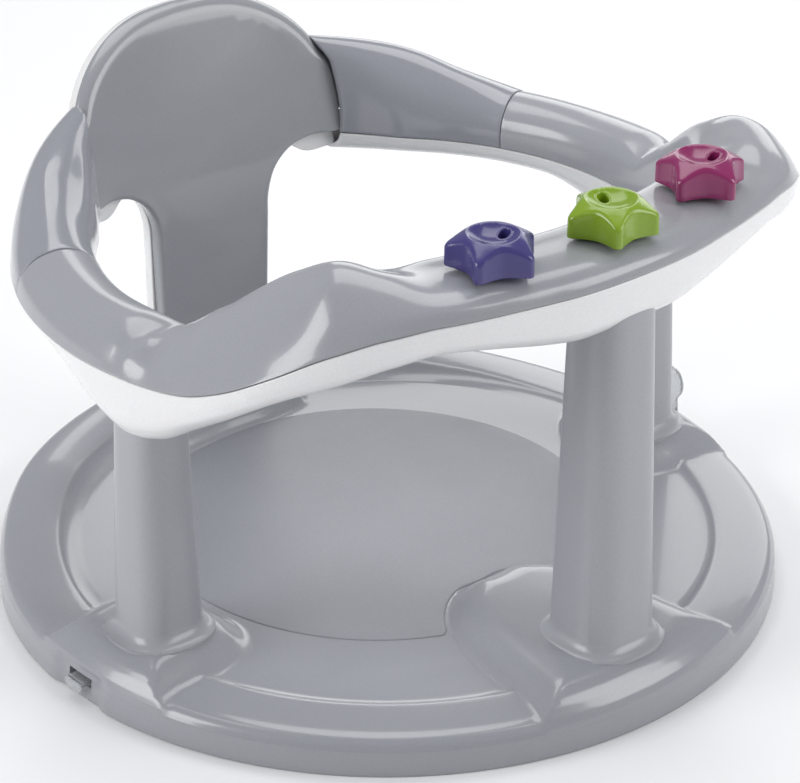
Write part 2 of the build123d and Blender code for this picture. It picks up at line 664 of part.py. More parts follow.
for name, (x, y) in {"suction_cup_front": (0, -106), "suction_cup_rear": (0, 106)}.items():
    with BuildPart() as cup:
        with BuildSketch(Plane(origin=(x, y, 0), x_dir=(1, 0, 0), z_dir=(0, -1, 0))):
            with BuildLine():
                add(cup_outline())
            make_face()
        revolve(axis=Axis((x, y, 0), (0, 0, 1)))
    cup.part.label = name
    export_step(cup.part, "parts/" + name + ".step")

for name, sx in {"suction_cup_left": -1, "suction_cup_right": 1}.items():
    x, y = sx * 140, TAB_Y
    with BuildPart() as cup:
        with BuildSketch(Plane(origin=(x, y, 0), x_dir=(1, 0, 0), z_dir=(0, -1, 0))):
            with BuildLine():
                add(cup_outline())
            make_face()
        revolve(axis=Axis((x, y, 0), (0, 0, 1)))
        # strap from the edge of the cup out through the slot
        with BuildSketch(Plane.XZ.offset(-TAB_Y)):
            with BuildLine():
                Polyline(*[(sx * px, pz) for px, pz in ((158.0, 2.6), (163, 3.6), (171, 7.6), (176, 8.2), (185.2, 8.2), (185.2, 9.8), (175.5, 9.8), (169.5, 9.0), (162, 5.2), (158, 4.4))], close=True)
            make_face()
        extrude(amount=6.0, both=True)
    cup.part.label = name
    export_step(cup.part, "parts/" + name + ".step")

# left tab lies flat against the slot, right tab stands up outside the rim
with BuildPart() as release_tab_left:
    with BuildSketch(Plane.XZ.offset(-TAB_Y)):
        with Locations((-TAB_X, TAB_Z)):
            Circle(1.4)
        with Locations((-TAB_X, TAB_Z - 3.6)):
            Rectangle(1.6, 6.0)
    extrude(amount=7.5, both=True)
    fillet(release_tab_left.edges().filter_by(Axis.X).group_by(Axis.Z)[0], 3.0)
release_tab_left.part.label = "release_tab_left"
export_step(release_tab_left.part, "parts/release_tab_left.step")

with BuildPart() as release_tab_right:
    with BuildSketch(Plane.XZ.offset(-TAB_Y)):
        with Locations((TAB_X, TAB_Z)):
            Circle(1.4)
    extrude(amount=5.0, both=True)
    with BuildSketch(Plane.YZ.offset(TAB_X - 0.8)):
        with Locations((TAB_Y, TAB_Z + 9)):
            Rectangle(9.0, 18.0)
        with Locations((TAB_Y, TAB_Z + 22.5)):
            RectangleRounded(15.0, 16.0, 6.0)
    extrude(amount=1.6)
release_tab_right.part.label = "release_tab_right"
export_step(release_tab_right.part, "parts/release_tab_right.step")
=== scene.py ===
import bpy
import bmesh
import math
import numpy as np
from mathutils import Vector, Matrix
from mathutils.geometry import delaunay_2d_cdt


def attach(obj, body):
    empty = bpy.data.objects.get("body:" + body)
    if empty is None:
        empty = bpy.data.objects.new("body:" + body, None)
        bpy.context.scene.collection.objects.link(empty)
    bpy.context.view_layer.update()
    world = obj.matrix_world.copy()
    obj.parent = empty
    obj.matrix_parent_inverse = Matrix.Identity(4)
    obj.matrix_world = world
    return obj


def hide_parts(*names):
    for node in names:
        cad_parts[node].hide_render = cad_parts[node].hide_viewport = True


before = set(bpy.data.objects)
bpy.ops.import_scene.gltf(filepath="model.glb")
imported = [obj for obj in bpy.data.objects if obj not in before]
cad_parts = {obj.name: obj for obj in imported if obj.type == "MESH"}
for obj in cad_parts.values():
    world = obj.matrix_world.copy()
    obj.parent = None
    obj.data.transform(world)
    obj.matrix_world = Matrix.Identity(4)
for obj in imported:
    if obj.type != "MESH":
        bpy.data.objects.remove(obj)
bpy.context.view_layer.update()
MM = 0.001

# ---------------------------------------------------------------------------
# sizes shared with the CAD part, in millimetres
# ---------------------------------------------------------------------------
BASE_R, FLOOR_Z, FLOOR_T, RIM_RISE = 185.0, 17.0, 2.5, 10.0
POD_Z, BACK_PAD_Z = 29.0, 24.0
SLOT_W, SLOT_Z0, SLOT_Z1, TAB_Y = 16.0, 7.6, 12.0, -3.5
SIDE_POST, FRONT_POST_Y = (147.1, -15.8), -147.0
SKIN, SEAM, ARM_END, LOWER_END, SEAM_GAP = 2.4, 114.8, 150.0, 149.0, 0.13
BACK_FRONT_Y, BACK_LEAN, BACK_CURVE = 131.0, 0.25, 0.0021
STAR_SEAT_Z, STAR_GAP, STAR_H = 224.7, 0.4, 14.4
STARS = {"left": (-60.0, -138.0, -6.2, 3.5), "centre": (0.0, -144.8, 18.8, 81.5), "right": (60.0, -138.0, -19.5, -5.5)}

FRONT_TABLE = [
    (0, [(125, 206), (123.7, 213), (123.6, 220), (126, 222.8), (137, 223.3), (150, 223.2), (160, 221.8), (165.6, 218.3), (167.5, 213)]),
    (15, [(126, 206), (124.7, 213), (124.6, 220), (127, 222.8), (139, 223.3), (152, 223.2), (161.5, 221.7), (166.9, 217.8), (168.8, 212.6)]),
    (24, [(129, 206), (127.7, 213), (127.6, 220), (130, 222.8), (142, 223.3), (155, 223.2), (165.3, 221.6), (170.5, 217.8), (172.6, 213)]),
    (33, [(133, 206), (131.3, 213), (131.3, 219.5), (134, 222.3), (145, 222.9), (158, 223.6), (168.5, 222.6), (175.8, 219), (178.6, 213)]),
    (40, [(136, 203), (134.3, 210), (134.3, 216), (137.5, 220), (147, 223.6), (160, 228.3), (170, 226), (179.3, 218.5), (183.5, 210.5)]),
    (47, [(137.5, 196), (135.8, 204), (136, 211.5), (139, 219.5), (147, 227.8), (157, 231), (168, 227), (179, 215), (185.5, 203.5)]),
    (55, [(137.5, 185), (135.5, 195), (136, 206.5), (138.2, 215), (142.2, 219.6), (149, 220.6), (161, 215), (176.3, 200.8), (184.5, 190.5)]),
    (63, [(136, 174), (134, 183), (134, 194), (135.6, 202), (139, 206.4), (145.5, 206), (157, 200.3), (171.8, 187.2), (180, 177)]),
    (70, [(134.5, 166), (132.8, 174), (132.6, 183), (134.3, 189.2), (138, 193), (144.5, 193.2), (155, 189.8), (168.3, 180), (175, 168.8)]),
    (78, [(133, 161.5), (131.8, 168.5), (132.3, 174), (135.2, 178), (140, 179.8), (147, 179.7), (157.5, 176.2), (167, 170.4), (171.5, 165.2)]),
    (86, [(132, 160), (131.3, 167.5), (133, 175), (138, 180.5), (144.5, 183), (151.5, 183), (161, 178.9), (167.6, 171.9), (170.4, 164)]),
    (100, [(132, 160), (131.3, 167.3), (133.3, 174.5), (138.5, 179.6), (145, 181.9), (151.5, 182), (161, 178.4), (168, 171.4), (170.6, 163)]),
    (118, [(132, 160), (131.5, 167.3), (133.7, 174.5), (139, 179.8), (145.5, 182.2), (152, 182.3), (161.5, 179), (168.5, 171.6), (171, 162.5)]),
]
ARM_TABLE = [
    (114, [(132.2, 160), (131.7, 167.2), (133.9, 174.4), (139.2, 179.6), (145.7, 182), (152, 182.1), (161.4, 178.8), (168.3, 171.4), (170.8, 162.5)]),
    (126, [(132.5, 160), (132.4, 168), (135.2, 177.5), (140.5, 185), (147.3, 189.6), (154, 189.8), (162.4, 185), (169, 174.5), (171, 162.5)]),
    (134, [(132.8, 160), (133, 170), (136.2, 182.5), (141.8, 190.4), (148.8, 196), (155.3, 197.2), (163.4, 192.2), (169.4, 178.5), (171, 162)]),
    (143, [(136, 160), (136.4, 172), (139.2, 187), (144, 196.4), (150.5, 202.4), (157, 203.3), (164.5, 197.8), (169.8, 182), (170.8, 161.5)]),
    (152, [(142.5, 160), (143.2, 173), (146, 189.5), (149.5, 200.5), (154, 206.3), (159, 207.3), (165, 202), (169.6, 184), (170.5, 161)]),
]
UNDER_A = [0, 9, 16, 24, 33, 40, 47, 55, 63, 70, 77, 84, 91, 98, 106, 118, 152]
UNDER_Z = [186.5, 185.5, 187.6, 191.8, 195.0, 191.5, 184, 174, 159.5, 147, 135.2, 130.4, 137.0, 144.6, 148.5, 149, 149]
ARCH = [(0, 236.5), (18, 235.6), (34, 232.4), (48, 226.5), (60, 218), (69, 207.5), (74.5, 196)]
RIM = [(185.0, 0.0), (184.9, 5.0), (184.4, 10.5), (183.2, 14.3), (180.9, 16.6), (177.5, 17.7), (171.0, 18.4), (163.0, 18.8), (156.5, 18.7), (153.8, 17.6), (151.0, 17.05), (146.0, FLOOR_Z)]
RIM_W = [0.0, 0.2, 0.45, 0.75, 0.95, 1.0, 1.0, 0.9, 0.7, 0.5, 0.3, 0.0]
FRONT_POD = [(0, -69), (-14, -69), (-31, -81), (-44, -103), (-49, -125), (-53, -150), (-56, -166)]
CUP = [(0, 14.2), (4.0, 14.2), (4.0, 10.2), (6.5, 9.8), (9.5, 8.0), (14.0, 5.4), (19.0, 2.8), (22.8, 0.8), (23.2, 0.3),
       (21.8, 0.3), (18.0, 1.6), (13.0, 3.4), (8.0, 5.0), (3.0, 5.8), (0, 5.9)]


# ---------------------------------------------------------------------------
# curves and meshes
# ---------------------------------------------------------------------------
def smooth_table(xs, ys, x):
    """Monotone cubic interpolation of a table."""
    n = len(xs)
    if x <= xs[0]:
        return ys[0]
    if x >= xs[-1]:
        return ys[-1]
    h = [xs[i + 1] - xs[i] for i in range(n - 1)]
    d = [(ys[i + 1] - ys[i]) / h[i] for i in range(n - 1)]
    m = [0.0] * n
    m[0], m[-1] = (0.0 if xs[0] == 0 else d[0]), d[-1]
    for i in range(1, n - 1):
        if d[i - 1] * d[i] > 0:
            w1, w2 = 2 * h[i] + h[i - 1], h[i] + 2 * h[i - 1]
            m[i] = (w1 + w2) / (w1 / d[i - 1] + w2 / d[i])
    i = max(k for k in range(n - 1) if xs[k] <= x)
    t = (x - xs[i]) / h[i]
    return ((2 * t**3 - 3 * t**2 + 1) * ys[i] + (t**3 - 2 * t**2 + t) * h[i] * m[i]
            + (-2 * t**3 + 3 * t**2) * ys[i + 1] + (t**3 - t**2) * h[i] * m[i + 1])


def smoothstep(a, b, x):
    t = np.clip((x - a) / (b - a), 0.0, 1.0)
    return t * t * (3 - 2 * t)


def catmull(points, sub, closed=False):
    """Centripetal Catmull-Rom curve through the points, sub steps to a segment."""
    p = [np.array(q, float) for q in points]
    n = len(p)
    out = []
    count = n if closed else n - 1
    for i in range(count):
        p1, p2 = p[i], p[(i + 1) % n]
        p0 = p[i - 1] if (closed or i > 0) else 2 * p1 - p2
        p3 = p[(i + 2) % n] if (closed or i + 2 < n) else 2 * p2 - p1
        t0 = 0.0
        t1 = t0 + max(np.linalg.norm(p1 - p0), 1e-6) ** 0.5
        t2 = t1 + max(np.linalg.norm(p2 - p1), 1e-6) ** 0.5
        t3 = t2 + max(np.linalg.norm(p3 - p2), 1e-6) ** 0.5
        for k in range(sub):
            t = t1 + (t2 - t1) * k / sub
            a1 = (t1 - t) / (t1 - t0) * p0 + (t - t0) / (t1 - t0) * p1
            a2 = (t2 - t) / (t2 - t1) * p1 + (t - t1) / (t2 - t1) * p2
            a3 = (t3 - t) / (t3 - t2) * p2 + (t - t2) / (t3 - t2) * p3
            b1 = (t2 - t) / (t2 - t0) * a1 + (t - t0) / (t2 - t0) * a2
            b2 = (t3 - t) / (t3 - t1) * a2 + (t - t1) / (t3 - t1) * a3
            out.append((t2 - t) / (t2 - t1) * b1 + (t - t1) / (t2 - t1) * b2)
    if not closed:
        out.append(p[-1])
    return np.array(out)


def normals_2d(points, side, closed=False):
    """Unit normals of a polyline; side +1 is to the right of its direction."""
    if closed:
        t = np.roll(points, -1, 0) - np.roll(points, 1, 0)
    else:
        t = np.gradient(points, axis=0)
    length = np.maximum(np.linalg.norm(t, axis=1, keepdims=True), 1e-9)
    t = t / length
    return np.stack([side * t[:, 1], -side * t[:, 0]], 1)


def build(name, verts, faces, material, body="seat", replaces=(), angle=40, weld=2e-6, flip=False):
    """One shown piece from points in millimetres."""
    me = bpy.data.meshes.new(name)
    me.from_pydata([tuple(float(c) * MM for c in v) for v in verts], [], [tuple(int(i) for i in f) for f in faces])
    bm = bmesh.new()
    bm.from_mesh(me)
    bmesh.ops.remove_doubles(bm, verts=bm.verts, dist=weld)
    bmesh.ops.dissolve_degenerate(bm, edges=bm.edges, dist=1e-7)
    loose = [v for v in bm.verts if not v.link_faces]
    if loose:
        bmesh.ops.delete(bm, geom=loose, context="VERTS")
    bmesh.ops.recalc_face_normals(bm, faces=bm.faces)
    if flip:
        bmesh.ops.reverse_faces(bm, faces=bm.faces)
    bm.to_mesh(me)
    bm.free()
    for p in me.polygons:
        p.use_smooth = True
    me.set_sharp_from_angle(angle=math.radians(angle))
    me.materials.append(material)
    ob = bpy.data.objects.new(name, me)
    bpy.context.scene.collection.objects.link(ob)
    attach(ob, body)
    if replaces:
        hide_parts(*replaces)
    return ob


def grid_faces(rows, cols, base=0, wrap_rows=False, wrap_cols=False):
    faces = []
    for i in range(rows if wrap_rows else rows - 1):
        for j in range(cols if wrap_cols else cols - 1):
            a = base + i * cols + j
            b = base + i * cols + (j + 1) % cols
            c = base + ((i + 1) % rows) * cols + (j + 1) % cols
            d = base + ((i + 1) % rows) * cols + j
            faces.append((a, b, c, d))
    return faces


# ---------------------------------------------------------------------------
# materials: procedural, with fine grain and roughness variation
# ---------------------------------------------------------------------------
def plastic(name, colour, rough=0.22, coat=0.0, grain=0.02, grain_size=900.0, vary=0.03, smear=0.018, wear=0.0, sss=0.0, ior=1.5, transmission=0.0, metallic=0.0):
    m = bpy.data.materials.new(name)
    m.use_nodes = True
    nt = m.node_tree
    nt.nodes.clear()
    out = nt.nodes.new("ShaderNodeOutputMaterial")
    bsdf = nt.nodes.new("ShaderNodeBsdfPrincipled")
    nt.links.new(bsdf.outputs[0], out.inputs[0])
    coord = nt.nodes.new("ShaderNodeTexCoord")
    # broad colour variation of the moulding
    broad = nt.nodes.new("ShaderNodeTexNoise")
    broad.inputs["Scale"].default_value = 14.0
    broad.inputs["Detail"].default_value = 3.0
    nt.links.new(coord.outputs["Object"], broad.inputs["Vector"])
    mixc = nt.nodes.new("ShaderNodeMix")
    mixc.data_type = "RGBA"
    mixc.inputs[6].default_value = (*[c * (1 - vary) for c in colour], 1)
    mixc.inputs[7].default_value = (*[min(1.0, c * (1 + vary)) for c in colour], 1)
    nt.links.new(broad.outputs["Fac"], mixc.inputs[0])
    colour_out = mixc.outputs[2]
    # fine specks in the pigment
    speck = nt.nodes.new("ShaderNodeTexNoise")
    speck.inputs["Scale"].default_value = 1400.0
    speck.inputs["Detail"].default_value = 2.0
    nt.links.new(coord.outputs["Object"], speck.inputs["Vector"])
    ramp = nt.nodes.new("ShaderNodeMapRange")
    ramp.inputs["From Min"].default_value = 0.35
    ramp.inputs["From Max"].default_value = 0.65
    ramp.inputs["To Min"].default_value = 0.0
    ramp.inputs["To Max"].default_value = 1.0
    nt.links.new(speck.outputs["Fac"], ramp.inputs["Value"])
    mix2 = nt.nodes.new("ShaderNodeMix")
    mix2.data_type = "RGBA"
    mix2.blend_type = "MULTIPLY"
    mix2.inputs[0].default_value = 0.06
    nt.links.new(colour_out, mix2.inputs[6])
    combine = nt.nodes.new("ShaderNodeCombineColor")
    for k in range(3):
        nt.links.new(ramp.outputs[0], combine.inputs[k])
    nt.links.new(combine.outputs[0], mix2.inputs[7])
    nt.links.new(mix2.outputs[2], bsdf.inputs["Base Color"])
    # roughness: smears from handling, and fine streaks
    smears = nt.nodes.new("ShaderNodeTexNoise")
    smears.inputs["Scale"].default_value = 38.0
    smears.inputs["Detail"].default_value = 6.0
    smears.inputs["Roughness"].default_value = 0.62
    nt.links.new(coord.outputs["Object"], smears.inputs["Vector"])
    rr = nt.nodes.new("ShaderNodeMapRange")
    rr.inputs["From Min"].default_value = 0.1
    rr.inputs["From Max"].default_value = 0.9
    rr.inputs["To Min"].default_value = max(0.02, rough - smear)
    rr.inputs["To Max"].default_value = rough + smear
    nt.links.new(smears.outputs["Fac"], rr.inputs["Value"])
    nt.links.new(rr.outputs[0], bsdf.inputs["Roughness"])
    # surface grain
    g = nt.nodes.new("ShaderNodeTexNoise")
    g.inputs["Scale"].default_value = grain_size
    g.inputs["Detail"].default_value = 3.0
    nt.links.new(coord.outputs["Object"], g.inputs["Vector"])
    peel = nt.nodes.new("ShaderNodeTexNoise")
    peel.inputs["Scale"].default_value = 120.0
    peel.inputs["Detail"].default_value = 2.0
    nt.links.new(coord.outputs["Object"], peel.inputs["Vector"])
    b1 = nt.nodes.new("ShaderNodeBump")
    b1.inputs["Strength"].default_value = grain
    b1.inputs["Distance"].default_value = 0.0004
    nt.links.new(g.outputs["Fac"], b1.inputs["Height"])
    b2 = nt.nodes.new("ShaderNodeBump")
    b2.inputs["Strength"].default_value = 0.03
    b2.inputs["Distance"].default_value = 0.0006
    nt.links.new(peel.outputs["Fac"], b2.inputs["Height"])
    nt.links.new(b1.outputs[0], b2.inputs["Normal"])
    nt.links.new(b2.outputs[0], bsdf.inputs["Normal"])
    bsdf.inputs["IOR"].default_value = ior
    bsdf.inputs["Metallic"].default_value = metallic
    if coat:
        bsdf.inputs["Coat Weight"].default_value = coat
        bsdf.inputs["Coat Roughness"].default_value = 0.06
    if sss:
        bsdf.inputs["Subsurface Weight"].default_value = sss
        bsdf.inputs["Subsurface Scale"].default_value = 0.004
    if transmission:
        bsdf.inputs["Transmission Weight"].default_value = transmission
    return m


M_GREY = plastic("grey_gloss_plastic", (0.33, 0.34, 0.365), rough=0.22, coat=0.35, grain=0.03)
M_ARM = plastic("grey_arm_plastic", (0.285, 0.295, 0.325), rough=0.16, coat=0.5, grain=0.02)
M_BACK = plastic("grey_back_plastic", (0.30, 0.31, 0.332), rough=0.22, coat=0.35, grain=0.015)
M_POST = plastic("grey_post_plastic", (0.345, 0.355, 0.38), rough=0.30, coat=0.2, grain=0.03)
M_BASE = plastic("grey_base_plastic", (0.31, 0.32, 0.345), rough=0.22, coat=0.4, grain=0.03)
M_MAT = plastic("grey_matt_mat", (0.265, 0.275, 0.30), rough=0.42, coat=0.0, grain=0.35, grain_size=1600.0, smear=0.06)
M_WHITE = plastic("white_gloss_plastic", (0.80, 0.80, 0.80), rough=0.22, coat=0.3, grain=0.03, vary=0.015, sss=0.05)
M_PURPLE = plastic("star_purple_plastic", (0.05, 0.042, 0.185), rough=0.24, coat=0.3, grain=0.05)
M_GREEN = plastic("star_green_plastic", (0.215, 0.345, 0.012), rough=0.24, coat=0.3, grain=0.05)
M_MAGENTA = plastic("star_magenta_plastic", (0.25, 0.018, 0.11), rough=0.24, coat=0.3, grain=0.05)
M_CLEAR = plastic("clear_soft_plastic", (0.82, 0.84, 0.86), rough=0.16, coat=0.2, grain=0.1, vary=0.02, ior=1.42, transmission=0.75)
M_STEEL = plastic("screw_steel", (0.55, 0.55, 0.56), rough=0.34, grain=0.2, metallic=1.0)
M_SPINDLE = plastic("spindle_plastic", (0.62, 0.62, 0.61), rough=0.38, grain=0.1)


# ---------------------------------------------------------------------------
# ring: thin curved shells swept round the seat
# ---------------------------------------------------------------------------
def table_profile(table, theta):
    t = abs(theta)
    xs = [row[0] for row in table]
    return [(smooth_table(xs, [row[1][i][0] for row in table], t),
             smooth_table(xs, [row[1][i][1] for row in table], t)) for i in range(9)]


def front_profile(theta):
    """Front cover section; each hump ends in a raised edge that crosses the tube."""
    out = []
    t = abs(theta)
    for i, (r, z) in enumerate(table_profile(FRONT_TABLE, theta)):
        edge = float(np.interp(r, [138.0, 142.0, 150.0, 158.0, 165.0], [75.8, 76.3, 77.8, 79.4, 81.0]))
        rise = 2.6 * float(smoothstep(edge - 10.0, edge - 0.3, t) * (1 - smoothstep(edge + 0.1, edge + 2.6, t)))
        lift = (0, 0, 0.25, 0.8, 1, 1, 1, 0.7, 0)[i]
        out.append((r, z + rise * lift))
    return out


def under_profile(theta):
    """Outer profile of the white lower shell, outer joint line to inner joint line."""
    top = table_profile(FRONT_TABLE if abs(theta) <= SEAM else ARM_TABLE, theta)
    (ri, zi), (ro, zo) = top[0], top[-1]
    zb = smooth_table(UNDER_A, UNDER_Z, abs(theta))
    h = zo - zb
    hi = zi - zb
    mid = (ri + ro) / 2
    tuck = float(smoothstep(88.0, 106.0, abs(theta)))
    return [(ro - 0.6 - 0.4 * tuck, zo - 0.6), (ro - 1.5 - 2.5 * tuck, zo - 0.38 * h), (ro - 4.6 - 5 * tuck, zo - 0.75 * h), (ro - 11 - 4 * tuck, zb + 0.4),
            (mid, zb - 0.4), (ri + 7.5, zb + 0.6), (ri + 2.6, zb + 0.42 * hi), (ri + 0.6, zi - 0.6)]


def shell_loop(profile, side, delta, skin=SKIN, sub=6, lip=3):
    """Closed section: outer skin, round edge, inner skin, round edge. delta thins it, to round an end."""
    curve = catmull(profile, sub)
    n = normals_2d(curve, side)
    n[0] = (math.copysign(1.0, n[0][0]), 0.0)
    n[-1] = (math.copysign(1.0, n[-1][0]), 0.0)
    half = skin / 2
    mid = curve + n * half
    h = half - delta
    outer, inner = mid - n * h, mid + n * h
    lip_a, lip_b = [], []
    down_a = curve[-1] - curve[-2]
    down_a = down_a / np.linalg.norm(down_a)
    down_b = curve[0] - curve[1]
    down_b = down_b / np.linalg.norm(down_b)
    # the edge keeps its line, and its corners are rounded by r
    r = min(0.7, h * 0.9)
    for k in range(lip + 1):
        f = math.pi / 2 * k / lip
        lip_a.append(outer[-1] + n[-1] * r * (1 - math.cos(f)) + down_a * r * (math.sin(f) - 1))
        lip_b.append(outer[0] + n[0] * r * (1 - math.cos(f)) + down_b * r * (math.sin(f) - 1))
    lip_a2, lip_b2 = [], []
    for k in range(lip + 1):
        f = math.pi / 2 * (1 - k / lip)
        lip_a2.append(inner[-1] - n[-1] * r * (1 - math.cos(f)) + down_a * r * (math.sin(f) - 1))
        lip_b2.append(inner[0] - n[0] * r * (1 - math.cos(f)) + down_b * r * (math.sin(f) - 1))
    outer_part = list(lip_b[::-1]) + list(outer[1:-1]) + list(lip_a)
    inner_part = list(lip_a2) + list(inner[1:-1][::-1]) + list(lip_b2[::-1])
    return np.array(outer_part + inner_part)


def side_x(z):
    """Half width of the backrest at a height, with the joint gap."""
    return float(np.interp(z, [150, 161, 174, 186, 196, 207.5, 218], [74.9, 74.9, 75.3, 74.8, 74.3, 69.3, 60.3])) - 1.2


def to_backrest(theta, r, z, start=136.0, end=ARM_END):
    """Turns the end of an arm so that it meets the side face of the backrest."""
    t = abs(theta)
    if t <= start:
        return theta
    w = float(smoothstep(start, end, t))
    meet = 180.0 - math.degrees(math.asin(side_x(z) / r))
    return math.copysign(t + w * (meet - end), theta)


def place(loop, theta, warp=None):
    out = []
    for r, z in loop:
        a = math.radians(warp(theta, r, z) if warp else theta)
        out.append((r * math.sin(a), -r * math.cos(a), z))
    return out


def swept_shell(name, profile_at, side, th0, th1, step, material, replaces, round_ends=(True, True), end_r=0.5, sub=6, radius=150.0, warp=None):
    """A thin shell swept over angles; its two ends are rounded over."""
    dr = math.degrees(end_r / radius)
    thetas = []
    count = max(2, int(round((th1 - th0) / step)))
    for k in range(4):
        f = math.pi / 2 * k / 4
        thetas.append((th0 + dr * (1 - math.sin(f)), end_r * (1 - math.cos(math.pi / 2 - f)) if round_ends[0] else 0.0))
    thetas[0] = (th0, min(end_r, SKIN / 2 - 0.15) if round_ends[0] else 0.0)
    ends = []
    for k in range(5):
        f = math.pi / 2 * k / 4
        ends.append((1 - math.cos(f), math.sin(f)))
    rows = []
    for back, along in ends[::-1]:
        rows.append((th0 + dr * (1 - along), back * min(end_r, SKIN / 2 - 0.15) if round_ends[0] else 0.0))
    inner0, inner1 = th0 + dr, th1 - dr
    for k in range(1, count):
        rows.append((inner0 + (inner1 - inner0) * k / count, 0.0))
    for back, along in ends:
        rows.append((th1 - dr * (1 - along), back * min(end_r, SKIN / 2 - 0.15) if round_ends[1] else 0.0))
    rows.sort(key=lambda q: q[0])
    verts, loops = [], []
    for theta, delta in rows:
        loop = shell_loop(profile_at(theta), side, delta, sub=sub)
        loops.append(loop)
        verts += place(loop, theta, warp)
    n = len(loops[0])
    faces = grid_faces(len(rows), n, wrap_cols=True)
    for base in (0, (len(rows) - 1) * n):
        for j in range(n // 2 - 1):
            faces.append((base + j, base + j + 1, base + n - 2 - j, base + n - 1 - j))
    return build(name, verts, faces, material, replaces=replaces)


swept_shell("front_cover_skin", front_profile, 1, -(SEAM - SEAM_GAP / 2), SEAM - SEAM_GAP / 2, 0.8,
            M_GREY, ("front_cover",))
swept_shell("right_arm_skin", lambda t: table_profile(ARM_TABLE, t), 1, SEAM + SEAM_GAP / 2, ARM_END, 1.0,
            M_ARM, ("right_arm_cover",), warp=to_backrest)
swept_shell("left_arm_skin", lambda t: table_profile(ARM_TABLE, t), 1, -ARM_END, -(SEAM + SEAM_GAP / 2), 1.0,
            M_ARM, ("left_arm_cover",), warp=to_backrest)
swept_shell("white_lower_shell", under_profile, 1, -LOWER_END, LOWER_END, 1.1,
            M_WHITE, ("lower_ring",), warp=lambda t, r, z: to_backrest(t, r, z, end=LOWER_END))


# ---------------------------------------------------------------------------
# base: one moulding, from the middle of the floor over the rim and back underneath
# ---------------------------------------------------------------------------
def polygon_distance(poly, x, y):
    """Signed distance to a closed polygon, positive inside."""
    best = np.full(x.shape, 1e9)
    inside = np.zeros(x.shape, bool)
    n = len(poly)
    for i in range(n):
        (x0, y0), (x1, y1) = poly[i], poly[(i + 1) % n]
        dx, dy = x1 - x0, y1 - y0
        t = np.clip(((x - x0) * dx + (y - y0) * dy) / max(dx * dx + dy * dy, 1e-12), 0, 1)
        best = np.minimum(best, np.hypot(x - x0 - t * dx, y - y0 - t * dy))
        cross = ((y0 > y) != (y1 > y)) & (x < (x1 - x0) * (y - y0) / (y1 - y0 + 1e-12) + x0)
        inside ^= cross
    return np.where(inside, best, -best)


front_outline = catmull(FRONT_POD + [(-60, -185), (60, -185)] + [(-x, y) for x, y in FRONT_POD[:0:-1]], 6, closed=True)
side_outline = catmull([(-110, -19), (-112.5, -33), (-120, -43), (-136, -50), (-160, -52), (-190, -48), (-198, -16), (-190, 18), (-166, 27), (-150, 28), (-134, 22), (-119, 4)], 6, closed=True)
back_outline = catmull([(-52, 124), (-46, 118), (0, 117), (46, 118), (52, 124), (54, 141), (52, 158), (46, 164), (0, 165), (-46, 164), (-52, 158), (-54, 141)], 6, closed=True)


def island(x, y):
    """Height of the raised islands over the floor plane."""
    z = np.zeros_like(x)
    d = polygon_distance(front_outline, x, y)
    z = np.maximum(z, (POD_Z - FLOOR_Z) * (1 - (1 - np.clip(d / 21.0, 0, 1)) ** 2.2))
    for sx in (-1, 1):
        d = polygon_distance([(px * -sx, py) for px, py in side_outline], x, y)
        z = np.maximum(z, (POD_Z - FLOOR_Z) * smoothstep(-3.0, 17.0, d) * smoothstep(-3.0, 2.0, d))
    d = polygon_distance(back_outline, x, y)
    z = np.maximum(z, (BACK_PAD_Z - FLOOR_Z) * smoothstep(0.0, 9.0, d))
    return z


def rim_profile(theta):
    rise = smooth_table([0, 105, 128, 146, 180], [0, 0, 0.45 * RIM_RISE, RIM_RISE, RIM_RISE], abs(theta))
    return [(r, z + w * rise) for (r, z), w in zip(RIM, RIM_W)]


